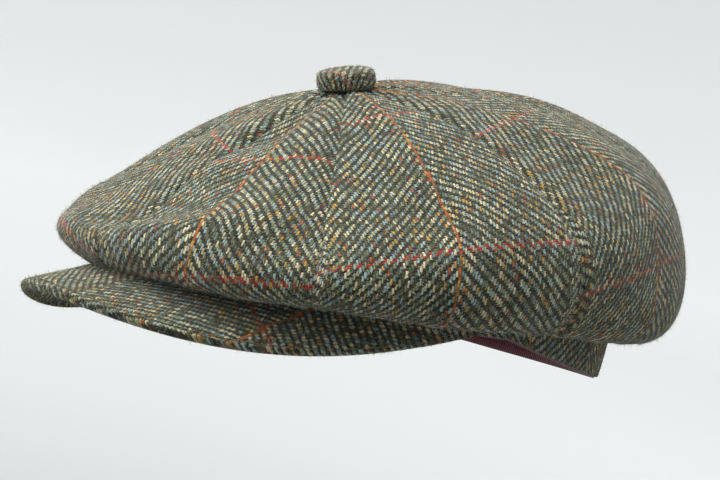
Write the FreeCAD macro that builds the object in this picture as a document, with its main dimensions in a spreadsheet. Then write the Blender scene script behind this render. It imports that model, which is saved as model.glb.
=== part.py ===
import FreeCAD, Part
import Sketcher
import math
import os

# Newsboy cap: eight-gore tweed crown with a satin lining, a head band with a
# sweatband, a stiffened peak (brim) and a covered button.
# Millimetres. +Z is up, the front of the cap faces -Y, the wearer's left is +X.
# The origin is the middle of the head opening on the band's lower edge.

Vector = FreeCAD.Vector
doc = FreeCAD.newDocument("newsboy_cap")
sheet = doc.addObject("Spreadsheet::Sheet", "Sizes")

SIZES = [
    # name, value, note
    ("head_width", 164.0, "inside width of the sweatband"),
    ("head_length", 204.0, "inside length of the sweatband"),
    ("sweat_thick", 1.0, "sweatband thickness"),
    ("sweat_bottom", 0.8, "sweatband lower edge above the band's lower edge"),
    ("sweat_height", 31.0, "sweatband height"),
    ("band_thick", 2.95, "band thickness, folded tweed"),
    ("band_height", 24.0, "band height"),
    ("layer_gap", 0.05, "gap left between two layers sewn together"),
    ("crown_width", 248.0, "widest part of the crown, side to side"),
    ("crown_length", 274.0, "longest part of the crown, front to back"),
    ("crown_shift", 10.5, "crown middle forward of the head opening's middle"),
    ("crown_height", 97.5, "height of the crown where the gores meet"),
    ("apex_forward", 42.0, "meeting point of the gores, forward of the middle"),
    ("apex_tilt", 18.0, "forward lean of the button in degrees"),
    ("apex_drop", 5.0, "fall of the crown just in front of the button"),
    ("gore_count", 8.0, "number of crown gores"),
    ("gore_thick", 1.6, "tweed thickness"),
    ("gore_puff", 2.0, "how far the middle of a gore stands proud of its seams"),
    ("seam_gap", 0.06, "half the gap between two neighbouring gores"),
    ("apex_hole", 3.6, "radius left open at the top for the button shank"),
    ("shoulder_ratio", 0.87, "where the top rolls over, share of the reach"),
    ("inner_ratio", 0.42, "inner guide ring of the top, share of the reach"),
    ("inner_fall", 2.5, "mean fall of the inner guide ring"),
    ("inner_tilt", 20.0, "extra fall of the inner guide ring at the front"),
    ("shoulder_level", 71.5, "mean height of the roll-over"),
    ("shoulder_tilt", 42.0, "how much lower the roll-over is at the front"),
    ("side_level", 31.0, "mean height of the widest line"),
    ("side_tilt", 13.5, "how much lower the widest line is at the front"),
    ("fold_level", 11.0, "mean height of the lower fold"),
    ("fold_tilt", 3.0, "how much lower the fold is at the front"),
    ("fold_ratio", 0.93, "size of the fold line against the widest line"),
    ("lining_thick", 0.5, "satin thickness"),
    ("lining_gap", 0.3, "air between tweed and satin"),
    ("peak_depth", 60.0, "peak depth at the centre front"),
    ("peak_wrap", 80.0, "angle at which each peak horn ends, degrees"),
    ("peak_slope", 15.0, "downward slope of the peak at the front, degrees"),
    ("peak_rise", 7.0, "height of the peak seam at the centre front"),
    ("peak_power", 2.7, "roundness of the peak outline"),
    ("peak_cover", 1.2, "tweed thickness over the peak"),
    ("board_thick", 1.6, "peak board thickness"),
    ("peak_run", 0.45, "running gap between the band and the peak"),
    ("thread_dia", 0.7, "sewing thread thickness"),
    ("button_dia", 25.0, "covered button diameter"),
    ("button_thick", 8.0, "covered button thickness"),
    ("button_lift", 1.7, "button underside above the gores"),
    ("button_round", 2.4, "rounding of the button rim"),
    ("cover_thick", 1.2, "tweed thickness over the button"),
    ("shell_thick", 0.8, "metal shell thickness"),
    ("back_thick", 1.0, "button back plate thickness"),
    ("shank_dia", 4.4, "button shank diameter"),
    ("washer_dia", 18.0, "fixing washer diameter"),
    ("washer_thick", 1.0, "fixing washer thickness"),
    ("washer_depth", 5.2, "washer top below the meeting point of the gores"),
]
for row, (alias, value, note) in enumerate(SIZES, start=1):
    sheet.set("A%d" % row, alias)
    sheet.set("B%d" % row, str(value))
    sheet.set("C%d" % row, note)
    sheet.setAlias("B%d" % row, alias)
doc.recompute()


def size(alias):
    """Read one driving size from the sheet."""
    return float(sheet.get(alias))


def bind(obj, prop, expression):
    """Tie a property to sheet sizes; names in braces are sheet aliases."""
    obj.setExpression(prop, expression.replace("{", "Sizes.").replace("}", ""))


nodes = []


def keep(obj, name):
    """Give the finished object its node name and list it for export."""
    obj.Label = name
    nodes.append((name, obj))
    return obj


# ---------------------------------------------------------------- sheet shapes
def spline(poles):
    """Cubic curve through a clamped, evenly knotted frame of poles."""
    spans = len(poles) - 3
    knots = [i / spans for i in range(spans + 1)]
    mults = [4] + [1] * (spans - 1) + [4]
    curve = Part.BSplineCurve()
    curve.buildFromPolesMultsKnots(poles, mults, knots, False, 3)
    return curve


def solid_between(lower, upper):
    """Solid piece of cloth or board between two grids of points."""
    faces = []
    surfaces = []
    for grid in (lower, upper):
        surface = Part.BSplineSurface()
        surface.interpolate(grid)
        surfaces.append(surface)
        faces.append(surface.toShape())
    low, high = surfaces
    u0, u1, v0, v1 = low.bounds()
    for iso in ("u", "v"):
        for value in ((u0, u1) if iso == "u" else (v0, v1)):
            pair = []
            for surface in (low, high):
                curve = surface.uIso(value) if iso == "u" else surface.vIso(value)
                pair.append(curve.toShape())
            faces.append(Part.makeRuledSurface(pair[0], pair[1], 1))
    sewn = Part.makeCompound(faces)
    sewn.sewShape()
    solid = Part.makeSolid(Part.makeShell(sewn.Faces))
    if solid.Volume < 0:
        solid.reverse()
    return solid


def feature(name, shape):
    """Document object for a shape worked out in code."""
    obj = doc.addObject("Part::Feature", name)
    obj.Shape = shape
    return keep(obj, name)


# ---------------------------------------------------------------- crown gores
inner_half_x = size("head_width") / 2
inner_half_y = size("head_length") / 2
wall = size("sweat_thick") + size("layer_gap") + size("band_thick")
band_half_x = inner_half_x + wall
band_half_y = inner_half_y + wall
half_gore = size("gore_thick") / 2
lining_inset = half_gore + size("lining_gap") + size("lining_thick") / 2


def crown_profile(theta, lining):
    """Curve from the apex over the top, round the roll and back to the band.

    theta is the angle from the centre front towards the wearer's left.
    """
    c = math.cos(theta)
    sn = math.sin(theta)
    apex_y = -size("apex_forward")
    apex_z = size("crown_height")
    mid_y = -size("crown_shift")
    edge_x = size("crown_width") / 2 * sn
    edge_y = mid_y - size("crown_length") / 2 * c
    shoulder = size("shoulder_level") - size("shoulder_tilt") * c
    side = size("side_level") - size("side_tilt") * c
    fold = size("fold_level") - size("fold_tilt") * c
    fold_x = edge_x * size("fold_ratio")
    fold_y = mid_y + (edge_y - mid_y) * size("fold_ratio")

    def reach(share, z):
        return Vector(edge_x * share, apex_y + (edge_y - apex_y) * share, z)

    if lining:
        end_out = lining_inset + size("lining_thick") + size("layer_gap")
        hem_x = (inner_half_x + size("sweat_thick") + end_out) * sn
        hem_y = -(inner_half_y + size("sweat_thick") + end_out) * c
        hem_z = size("band_height") + 1.2 - lining_inset
        under_z = size("band_height") + 5.0
    else:
        end_out = 0.8 * half_gore + 2 * size("layer_gap")
        hem_x = (band_half_x + end_out) * sn
        hem_y = -(band_half_y + end_out) * c
        hem_z = size("band_height") - 1.0
        under_z = fold + 4.0
    under_x = hem_x + (fold_x - hem_x) * 0.35
    under_y = hem_y + (fold_y - hem_y) * 0.35
    return spline([
        Vector(0, apex_y, apex_z),
        reach(0.12, apex_z - 0.4 - size("apex_drop") * c),
        reach(size("inner_ratio"), apex_z - size("inner_fall") - size("inner_tilt") * c),
        reach(size("shoulder_ratio"), shoulder),
        reach(1.02, side + (shoulder - side) * 0.45),
        reach(1.03, fold + (side - fold) * 0.45),
        Vector(fold_x, fold_y, fold - 3.0),
        Vector(under_x, under_y, under_z),
        Vector(hem_x, hem_y, hem_z),
    ])


def start_share(curve, radius):
    """Curve parameter at which it is a given distance from the apex axis."""
    low = 0.0
    high = 0.3
    apex = curve.value(0.0)
    for _ in range(30):
        middle = (low + high) / 2
        if (curve.value(middle) - apex).Length < radius:
            low = middle
        else:
            high = middle
    return high


def crown_normal(theta, s, lining):
    """Outward direction of the smooth crown surface at one point."""
    a = crown_profile(theta - 0.01, lining).value(s)
    b = crown_profile(theta + 0.01, lining).value(s)
    curve = crown_profile(theta, lining)
    c = curve.value(max(s - 0.004, 0.0))
    d = curve.value(min(s + 0.004, 1.0))
    n = (d - c).cross(b - a)
    n.normalize()
    return n


def gore_faces(index, lining, low, high):
    """Two grids of points over one gore, at two distances from its middle.

    Rows run across the gore, columns from the apex to the hem.
    """
    across = 11
    along = 30
    step = 2 * math.pi / int(size("gore_count"))
    apex_y = -size("apex_forward")
    grids = ([], [])
    for i in range(across):
        share = i / (across - 1)
        theta = (index + share) * step
        begin = start_share(crown_profile(theta, lining), size("apex_hole"))
        bulge = math.sin(math.pi * share) ** 0.8 if 0 < share < 1 else 0.0
        lines = ([], [])
        for j in range(along):
            t = j / (along - 1)
            s = begin + (1 - begin) * t
            point = crown_profile(theta, lining).value(s)
            # keep a constant small gap to the neighbouring gores
            flat = max(math.hypot(point.x, point.y - apex_y), 1.0)
            angle = theta + (1 - 2 * share) * size("seam_gap") * 1.6 / flat
            point = crown_profile(angle, lining).value(s)
            n = crown_normal(angle, s, lining)
            puff = size("gore_puff") * bulge * math.sin(math.pi * min(t * 1.15, 1.0)) ** 0.7
            for line, distance in zip(lines, (low, high)):
                line.append(point + n * (puff + distance))
        for grid, line in zip(grids, lines):
            grid.append(line)
    return grids


for index in range(int(size("gore_count"))):
    low, high = gore_faces(index, False, -half_gore, half_gore)
    feature("crown_gore_%d" % (index + 1), solid_between(low, high))
for index in range(int(size("gore_count"))):
    far = lining_inset + size("lining_thick") / 2
    near = lining_inset - size("lining_thick") / 2
    low, high = gore_faces(index, True, -far, -near)
    feature("lining_gore_%d" % (index + 1), solid_between(low, high))


# ---------------------------------------------------------------- peak
peak_stack = size("board_thick") / 2 + size("layer_gap") + size("peak_cover")


def peak_point(phi, share, setback):
    """Point on the middle surface of the peak.

    phi is the angle from the centre front, share runs from seam to edge.
    """
    wrap = math.radians(size("peak_wrap"))
    slope = math.radians(size("peak_slope"))
    depth = size("peak_depth") * (1 - abs(phi / wrap) ** size("peak_power"))
    reach = share * max(depth - setback, 1.0)
    half_x = band_half_x + size("peak_run") + peak_stack + 0.15
    half_y = band_half_y + size("peak_run") + peak_stack * math.sin(slope) + 0.15
    rise = size("peak_rise") * math.cos(phi / wrap * math.pi / 2)
    return Vector(
        half_x * math.sin(phi),
        -half_y * math.cos(phi) - reach * math.cos(slope),
        rise - reach * math.sin(slope),
    )


def peak_normal(phi, share, setback):
    """Upward and outward direction of the peak's middle surface."""
    across = peak_point(phi + 0.01, share, setback) - peak_point(phi - 0.01, share, setback)
    along = peak_point(phi, share + 0.02, setback) - peak_point(phi, share - 0.02, setback)
    n = along.cross(across)
    n.normalize()
    return n


def peak_layer(name, end_share, shares, setback, low, high):
    """One layer of the peak between two distances from its middle surface.

    low and high hold one distance for each share from the seam to the edge.
    """
    across = 41
    wrap = math.radians(size("peak_wrap")) * end_share
    grids = []
    for distances in (low, high):
        grid = []
        for i in range(across):
            phi = wrap * (2 * i / (across - 1) - 1)
            line = []
            for share, distance in zip(shares, distances):
                n = peak_normal(phi, share, setback)
                line.append(peak_point(phi, share, setback) + n * distance)
            grid.append(line)
        grids.append(grid)
    return feature(name, solid_between(grids[0], grids[1]))


COVER_SHARES = [0.0, 0.12, 0.24, 0.36, 0.48, 0.60, 0.70, 0.79, 0.86, 0.91, 0.94, 0.97, 1.0]
BOARD_SHARES = [0.0, 0.2, 0.4, 0.6, 0.8, 1.0]
BOARD_SETBACK = 5.0
HORN_END = 0.975
BOARD_END = 0.90


def cover_offsets(side, outer):
    """Distance of a peak cover face from the middle, closing at the edge."""
    core = size("board_thick") / 2 + size("layer_gap")
    out = []
    for share in COVER_SHARES:
        closing = min(max((share - 0.915) / 0.085, 0.0), 1.0)
        inner = core + (0.03 - core) * closing ** 2
        extra = size("peak_cover") * (1 - 0.35 * closing ** 2) if outer else 0.0
        out.append(side * (inner + extra))
    return out


for name, side in (("peak_top_cover", 1), ("peak_under_cover", -1)):
    near = cover_offsets(side, False)
    far = cover_offsets(side, True)
    peak_layer(name, HORN_END, COVER_SHARES, 0.0, near, far)
half_board = [size("board_thick") / 2] * len(BOARD_SHARES)
peak_layer("peak_board", BOARD_END, BOARD_SHARES, BOARD_SETBACK,
           [-d for d in half_board], half_board)


def edge_thread(name, share, horn_share):
    """Row of edge stitching lying on the top of the peak near its edge."""
    radius = size("thread_dia") / 2
    lift = peak_stack + radius + 0.03
    wrap = math.radians(size("peak_wrap")) * horn_share
    points = []
    count = 45
    for i in range(count):
        phi = wrap * (2 * i / (count - 1) - 1)
        n = peak_normal(phi, share, 0.0)
        points.append(peak_point(phi, share, 0.0) + n * lift)
    curve = Part.BSplineCurve()
    curve.interpolate(points)
    spine = Part.Wire([curve.toShape()])
    tangent = curve.tangent(curve.FirstParameter)[0]
    ring = Part.Wire([Part.makeCircle(radius, points[0], tangent)])
    return feature(name, spine.makePipeShell([ring], True, False))


edge_thread("peak_edge_stitching", 0.88, 0.90)


# ---------------------------------------------------------------- bands
def oval(name, half_x, half_y, z):
    """Oval outline with its long axis front to back, sized from the sheet."""
    ring = doc.addObject("Part::Ellipse", name)
    bind(ring, "MajorRadius", half_y)
    bind(ring, "MinorRadius", half_x)
    ring.Placement = FreeCAD.Placement(Vector(0, 0, 0), FreeCAD.Rotation(Vector(0, 0, 1), 90))
    bind(ring, "Placement.Base.z", z)
    return ring


def oval_wall(name, inner, outer, z, height):
    """Upright oval wall between two outlines."""
    solids = []
    for side, (half_x, half_y) in (("outer", outer), ("inner", inner)):
        ring = oval("%s_%s_outline" % (name, side), half_x, half_y, z)
        block = doc.addObject("Part::Extrusion", "%s_%s_block" % (name, side))
        block.Base = ring
        block.DirMode = "Custom"
        block.Dir = Vector(0, 0, 1)
        block.Solid = True
        bind(block, "LengthFwd", height)
        solids.append(block)
    cut = doc.addObject("Part::Cut", name)
    cut.Base = solids[0]
    cut.Tool = solids[1]
    return keep(cut, name)


INNER = ("{head_width} / 2", "{head_length} / 2")
SWEAT_OUT = ("{head_width} / 2 + {sweat_thick}", "{head_length} / 2 + {sweat_thick}")
BAND_IN = tuple("%s + {layer_gap}" % item for item in SWEAT_OUT)
BAND_OUT = tuple("%s + {band_thick}" % item for item in BAND_IN)
oval_wall("head_band", BAND_IN, BAND_OUT, "0", "{band_height}")
oval_wall("sweatband", INNER, SWEAT_OUT, "{sweat_bottom}", "{sweat_height}")

thread_path = oval(
    "sweatband_thread_path",
    "{head_width} / 2 - {thread_dia} / 2 - 0.02",
    "{head_length} / 2 - {thread_dia} / 2 - 0.02",
    "{sweat_bottom} + 2.5",
)
thread_ring = doc.addObject("Part::Circle", "sweatband_thread_ring")
bind(thread_ring, "Radius", "{thread_dia} / 2")
thread_ring.Placement = FreeCAD.Placement(Vector(0, 0, 0), FreeCAD.Rotation(Vector(1, 0, 0), 90))
thread_ring.Placement.Rotation = FreeCAD.Rotation(Vector(0, 1, 0), 90)
bind(thread_ring, "Placement.Base.y", "{head_length} / 2 - {thread_dia} / 2 - 0.02")
bind(thread_ring, "Placement.Base.z", "{sweat_bottom} + 2.5")
thread = doc.addObject("Part::Sweep", "sweatband_stitching")
thread.Sections = [thread_ring]
thread.Spine = (thread_path, ["Edge1"])
thread.Solid = True
thread.Frenet = True
keep(thread, "sweatband_stitching")


# ---------------------------------------------------------------- button
def turned(name, corners, fillets=()):
    """Body of revolution about the button axis from a closed profile.

    corners are (radius, height) expressions measured from the apex.
    """
    body = doc.addObject("PartDesign::Body", name)
    sketch = body.newObject("Sketcher::SketchObject", name + "_profile")
    plane = [f for f in body.Origin.OriginFeatures if f.Role == "XZ_Plane"][0]
    sketch.AttachmentSupport = [(plane, "")]
    sketch.MapMode = "FlatFace"
    start = [(1.0 + 0.7 * i, 1.0 + (i * 7) % 5) for i in range(len(corners))]
    count = len(corners)
    for i in range(count):
        a = start[i]
        b = start[(i + 1) % count]
        sketch.addGeometry(Part.LineSegment(Vector(a[0], a[1], 0), Vector(b[0], b[1], 0)), False)
    for i in range(count):
        sketch.addConstraint(Sketcher.Constraint("Coincident", i, 2, (i + 1) % count, 1))
    for i, (radius, height) in enumerate(corners):
        for kind, text in (("DistanceX", radius), ("DistanceY", height)):
            index = sketch.addConstraint(Sketcher.Constraint(kind, -1, 1, i, 1, 1.0))
            sketch.setExpression("Constraints[%d]" % index,
                                 text.replace("{", "Sizes.").replace("}", ""))
    turn = body.newObject("PartDesign::Revolution", name + "_turn")
    turn.Profile = sketch
    turn.ReferenceAxis = (sketch, ["V_Axis"])
    turn.Angle = 360
    body.Tip = turn
    body.Placement = FreeCAD.Placement(Vector(0, 0, 0), FreeCAD.Rotation(Vector(1, 0, 0), 0))
    bind(body, "Placement.Base.y", "-{apex_forward}")
    bind(body, "Placement.Base.z", "{crown_height}")
    body.Placement.Rotation = FreeCAD.Rotation(Vector(1, 0, 0), size("apex_tilt"))
    for radius_expression, picker in fillets:
        doc.recompute()
        edges = ["Edge%d" % (k + 1) for k, e in enumerate(turn.Shape.Edges) if picker(e)]
        rounding = body.newObject("PartDesign::Fillet", name + "_rounding")
        rounding.Base = (turn, edges)
        bind(rounding, "Radius", radius_expression)
        body.Tip = rounding
    return keep(body, name)


HALF = "{button_dia} / 2"
TOP = "{button_lift} + {button_thick}"
IN1 = "{button_dia} / 2 - {cover_thick} - {layer_gap}"
SHELL_TOP = "{button_lift} + {button_thick} - {cover_thick} - {layer_gap}"
SHELL_IN = "{button_dia} / 2 - {cover_thick} - {layer_gap} - {shell_thick}"
SHELL_UNDER = SHELL_TOP + " - {shell_thick}"
BACK_LOW = "{button_lift} + {cover_thick} + {layer_gap}"
BACK_TOP = BACK_LOW + " + {back_thick}"
SEAT = BACK_TOP + " + {layer_gap}"


def is_ring(edge, radius, height):
    """True for the circular edge at a given radius and height."""
    if not isinstance(edge.Curve, Part.Circle):
        return False
    middle = edge.Curve.Center
    return abs(edge.Curve.Radius - radius) < 1e-3 and abs(middle.z - height) < 1e-3


top_level = size("button_lift") + size("button_thick")
rim = size("button_dia") / 2
turned(
    "button_cover",
    [
        ("{button_dia} / 2 - 4", "{button_lift}"),
        (HALF, "{button_lift}"),
        (HALF, TOP),
        ("0", TOP),
        ("0", "{button_lift} + {button_thick} - {cover_thick}"),
        ("{button_dia} / 2 - {cover_thick}", "{button_lift} + {button_thick} - {cover_thick}"),
        ("{button_dia} / 2 - {cover_thick}", "{button_lift} + {cover_thick}"),
        ("{button_dia} / 2 - 4", "{button_lift} + {cover_thick}"),
    ],
    [("{button_round}", lambda e: is_ring(e, rim, 0) or is_ring(e, rim, top_level))],
)
turned(
    "button_shell",
    [
        (IN1, SEAT),
        (IN1, SHELL_TOP + " - 1.6"),
        (IN1 + " - 1.6", SHELL_TOP),
        ("0", SHELL_TOP),
        ("0", SHELL_UNDER),
        (SHELL_IN + " - 1.4", SHELL_UNDER),
        (SHELL_IN, SHELL_UNDER + " - 1.4"),
        (SHELL_IN, SEAT),
    ],
)
turned(
    "button_back_plate",
    [("0", BACK_LOW), (IN1, BACK_LOW), (IN1, BACK_TOP), ("0", BACK_TOP)],
)
turned(
    "button_shank",
    [
        ("0", "0 - {washer_depth} + {layer_gap}"),
        ("{shank_dia} / 2", "0 - {washer_depth} + {layer_gap}"),
        ("{shank_dia} / 2", BACK_LOW + " - {layer_gap}"),
        ("0", BACK_LOW + " - {layer_gap}"),
    ],
)
turned(
    "button_fixing_washer",
    [
        ("0", "0 - {washer_depth} - {washer_thick}"),
        ("{washer_dia} / 2", "0 - {washer_depth} - {washer_thick}"),
        ("{washer_dia} / 2", "0 - {washer_depth}"),
        ("0", "0 - {washer_depth}"),
    ],
)

# ---------------------------------------------------------------- check, export
doc.recompute()
os.makedirs("parts", exist_ok=True)
for obj in doc.Objects:
    if "Invalid" in obj.State or "Error" in obj.State:
        raise RuntimeError("object %s did not compute" % obj.Label)
for name, obj in nodes:
    shape = obj.Shape
    if shape.isNull() or not shape.isValid():
        raise RuntimeError("shape of %s is not sound" % name)
    if len(shape.Solids) != 1 or shape.Volume <= 0:
        raise RuntimeError("%s is not one solid" % name)
    shape.exportStep("parts/%s.step" % name)
print("exported %d nodes" % len(nodes))
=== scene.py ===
# %% [markdown]
# # A tweed newsboy cap
# This file dresses the plain parts of a newsboy cap in cloth. The parts come
# from a CAD model, which sets how big the cap is. The cloth stays close to it
# and only settles where a worn cap does, by up to about a centimetre: the peak
# is a little deeper and steeper, and the band dips at the nape. Each cell makes
# one piece or one finish. Every piece is a surface worked out with numpy, which
# fills whole arrays of points at once, and every finish is a material built
# from nodes.

import math

import bpy
import numpy as np
from mathutils import Matrix, Vector


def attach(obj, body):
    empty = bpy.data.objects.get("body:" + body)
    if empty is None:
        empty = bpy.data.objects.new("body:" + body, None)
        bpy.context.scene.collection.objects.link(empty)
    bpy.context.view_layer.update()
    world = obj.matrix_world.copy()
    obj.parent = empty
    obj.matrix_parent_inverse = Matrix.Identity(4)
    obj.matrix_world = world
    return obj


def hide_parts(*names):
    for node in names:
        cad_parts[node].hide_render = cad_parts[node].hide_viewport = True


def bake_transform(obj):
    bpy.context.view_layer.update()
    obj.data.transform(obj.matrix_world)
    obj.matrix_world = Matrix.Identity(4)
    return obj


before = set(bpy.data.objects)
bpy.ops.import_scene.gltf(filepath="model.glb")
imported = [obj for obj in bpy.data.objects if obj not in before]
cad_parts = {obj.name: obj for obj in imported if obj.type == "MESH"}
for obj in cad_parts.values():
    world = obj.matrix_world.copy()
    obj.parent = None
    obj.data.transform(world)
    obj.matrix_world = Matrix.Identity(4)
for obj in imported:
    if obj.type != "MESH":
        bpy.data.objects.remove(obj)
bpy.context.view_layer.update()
MM = 0.001
print("parts in the frame:", len(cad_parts))

# %% [markdown]
# ## Putting a grid of points into a mesh
# A cloth panel is a bent rectangle. So most pieces here are a grid: one array
# of shape (rows, columns, 3). The helper joins neighbouring points into four
# sided faces. It also stores two things the weave needs: a UV map in metres,
# so a yarn has the same width everywhere, and the distance to the nearest red
# yarn of the overcheck.


# %% Grid helpers
def grid_faces(rows, columns, closed=False):
    """Corner numbers of every face of a grid; closed joins the last row to the first."""
    r = np.arange(rows if closed else rows - 1)[:, None]
    c = np.arange(columns - 1)[None, :]
    nxt = (r + 1) % rows
    corners = [r * columns + c, nxt * columns + c, nxt * columns + c + 1, r * columns + c + 1]
    return np.stack(np.broadcast_arrays(*corners), -1).reshape(-1, 4)


def make_piece(name, points, faces, cloth=None, red=None, smooth=True):
    """A mesh object from points and faces; cloth is a UV in metres per point."""
    mesh = bpy.data.meshes.new(name)
    mesh.from_pydata(points.reshape(-1, 3).tolist(), [], list(map(tuple, faces)))
    mesh.update()
    corner_points = np.zeros(len(mesh.loops), np.int32)
    mesh.loops.foreach_get("vertex_index", corner_points)
    if cloth is not None:
        layer = mesh.uv_layers.new(name="cloth")
        layer.data.foreach_set("uv", cloth.reshape(-1, 2)[corner_points].astype(np.float32).ravel())
    if red is not None:
        attribute = mesh.attributes.new("red_row", "FLOAT", "POINT")
        attribute.data.foreach_set("value", red.ravel().astype(np.float32))
    mesh.polygons.foreach_set("use_smooth", np.full(len(mesh.polygons), smooth))
    piece = bpy.data.objects.new(name, mesh)
    bpy.context.scene.collection.objects.link(piece)
    return piece


def surface_normals(grid):
    """Unit normals of a grid from the slopes along its rows and columns."""
    n = np.cross(np.gradient(grid, axis=1), np.gradient(grid, axis=0))
    return n / np.maximum(np.linalg.norm(n, axis=-1, keepdims=True), 1e-12)


def run_length(grid, axis):
    """Distance walked along one axis of a grid, starting from zero."""
    steps = np.linalg.norm(np.diff(grid, axis=axis), axis=-1)
    pad = [(1, 0), (0, 0)] if axis == 0 else [(0, 0), (1, 0)]
    return np.pad(np.cumsum(steps, axis=axis), pad)


def thicken(piece, thickness, offset=-1.0):
    """Give a sheet its thickness, grown towards its inside."""
    solid = piece.modifiers.new("thickness", "SOLIDIFY")
    solid.thickness = thickness
    solid.offset = offset
    solid.use_rim = True
    return piece


def cloth_area(piece):
    """Area of all faces of a sheet before it is thickened."""
    areas = np.zeros(len(piece.data.polygons))
    piece.data.polygons.foreach_get("area", areas)
    return float(areas.sum())


def bump(distance, width):
    """A smooth hill: one at the middle, fading to nothing past its width."""
    return np.exp(-((distance / width) ** 2))


# %% [markdown]
# ## Sizes
# The head opening, the thicknesses, the band's height, the crown's outline and
# the place of the button are the CAD part's own sizes, in metres. The last
# group belongs to the cloth alone: how proud a gore stands, how thin the tweed
# is where it is pulled over the peak and the button, how much higher the band's
# lower edge is at the front, and how far it dips towards the nape. A small gap
# keeps two layers that lie on each other from sharing a surface.

# %% Sizes in metres
HEAD_X, HEAD_Y = 0.082, 0.102
SWEAT_THICK, BAND_THICK, BAND_HEIGHT = 0.0010, 0.00295, 0.024
TWEED, SATIN, BOARD_THICK = 0.0016, 0.0005, 0.0016
GAP = 0.00005
BAND_X = HEAD_X + SWEAT_THICK + GAP + BAND_THICK
BAND_Y = HEAD_Y + SWEAT_THICK + GAP + BAND_THICK
APEX = np.array([0.0, -0.042, 0.0975])
APEX_LEAN = math.radians(18)
CROWN_X, CROWN_Y, CROWN_SHIFT = 0.124, 0.137, 0.0105
PUFF, WRAPPED_TWEED = 0.0020, 0.0009
FRONT_LIFT, NAPE_DIP = 0.0087, 0.0175
GORES = 8
GORE_ANGLE = 2 * math.pi / GORES
print("head opening", round(2 * HEAD_X, 3), "by", round(2 * HEAD_Y, 3), "m")

# %% [markdown]
# ## Sewing a piece in place
# The stiff peak is sewn to the band. Each sewn piece has its placement baked
# into its points, and the CAD parts it stands for are hidden.


def sew(piece, *cad_nodes):
    """Bake a piece's placement into its points and let it stand for its CAD nodes, which are hidden.
    """
    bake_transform(piece)
    if cad_nodes:
        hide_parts(*cad_nodes)
    return piece


# %% [markdown]
# ## The crown's surface
# From the button each line runs out over the top, rolls over a wide shoulder,
# tucks under in a fold and ends on the head band. Nine guide points give that
# line, and a B-spline draws a smooth curve near them. The guide points swing
# with a cosine round the cap, so the front is low and the back is high. The
# small `front` and `rear` terms let the cloth settle: it sags a few millimetres
# over the back of the head and shortens at the front, as a worn cap does.


# %% Crown surface
def head_shift(angle, up_share):
    """How far the band sits back at the nape; its top sits back a little more."""
    return (0.009 + 0.004 * up_share) * ((0.1 - np.cos(angle)) / 1.1).clip(0, 1)


def spline_weights(share, poles=9, degree=3):
    """B-spline weights for each share: each degree blends two of the one below."""
    knots = np.concatenate(
        [np.zeros(degree), np.linspace(0, 1, poles - degree + 1), np.ones(degree)]
    )
    x = np.clip(share, 0, 1 - 1e-9)[:, None]
    w = ((x >= knots[:-1]) & (x < knots[1:])).astype(float)
    for k in range(1, degree + 1):
        low, high = knots[: -k - 1], knots[k + 1 :]
        rise = (x - low) / np.maximum(knots[k:-1] - low, 1e-12)
        fall = (high - x) / np.maximum(high - knots[1:-k], 1e-12)
        w = rise * w[:, :-1] + fall * w[:, 1:]
    return w


def crown_surface(angle, share, lining=False):
    """Middle of the cloth: spline weights times guide points that turn with the angle."""
    a = np.asarray(angle)[:, None]
    c, s = np.cos(a), np.sin(a)
    one = np.ones_like(a)
    front, rear = c.clip(0, 1) ** 1.5, ((0.25 - c) / 1.25).clip(0, 1)
    edge_x = CROWN_X * s
    edge_y = -CROWN_SHIFT - CROWN_Y * c + 0.0034 * front * c + 0.0012 * rear
    shoulder = 0.0715 - 0.042 * c - 0.0030 * front - 0.0060 * rear
    side = 0.031 - 0.0135 * c + 0.0010 * rear
    fold = 0.011 - 0.003 * c - 0.0005 * front + 0.0049 * s**2 - 0.0009 * rear
    fold_x, fold_y = edge_x * 0.93, -CROWN_SHIFT + (edge_y + CROWN_SHIFT) * 0.93
    inset = TWEED / 2 + 0.0003 + SATIN / 2
    if lining:
        out = SWEAT_THICK + inset + SATIN + GAP
        hem_x, hem_y = (HEAD_X + out) * s, -(HEAD_Y + out) * c + head_shift(a, 1)
        hem_z = BAND_HEIGHT + 0.0012 - inset
        under_z = (BAND_HEIGHT + 0.005) * one
    else:
        hem_x, hem_y = (BAND_X + 0.00074) * s, -(BAND_Y + 0.00074) * c + head_shift(a, 1)
        hem_z = BAND_HEIGHT - 0.001
        under_z = fold + 0.004

    def reach(part, z):
        """A guide point a part of the way from the button to the crown's edge."""
        return edge_x * part, APEX[1] + (edge_y - APEX[1]) * part, z * one

    guides = [
        (0 * one, APEX[1] * one, APEX[2] * one),
        reach(0.12, APEX[2] - 0.0004 - 0.005 * c - 0.0007 * front),
        reach(0.42, APEX[2] - 0.0025 - 0.020 * c - 0.0020 * front - 0.0018 * rear),
        reach(0.87, shoulder),
        reach(1.02, side + (shoulder - side) * 0.45),
        reach(1.03, fold + (side - fold) * 0.45),
        (fold_x, fold_y, fold - 0.003),
        (hem_x + (fold_x - hem_x) * 0.35, hem_y + (fold_y - hem_y) * 0.35, under_z),
        (hem_x, hem_y, hem_z * one),
    ]
    poles = np.stack([np.concatenate([g[k] for g in guides], 1) for k in range(3)], -1)
    return np.einsum("sp,apc->asc", spline_weights(np.asarray(share)), poles)


probe = crown_surface(np.linspace(0, 2 * math.pi, 9), np.linspace(0, 1, 5))
print("crown spans", np.round(probe.max((0, 1)) - probe.min((0, 1)), 3))

# %% [markdown]
# ## Folds and wrinkles
# Wool tweed is springy, so its folds are few, soft and wide. Each named fold
# below is a line on the crown, given by the angle round the cap and the share
# of the way from button to hem. Cloth is pushed in along the line and out
# beside it. Slow waves add the gentle unevenness of a cap that has been worn,
# and short gathers mark where fullness is eased into the band.

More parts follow.
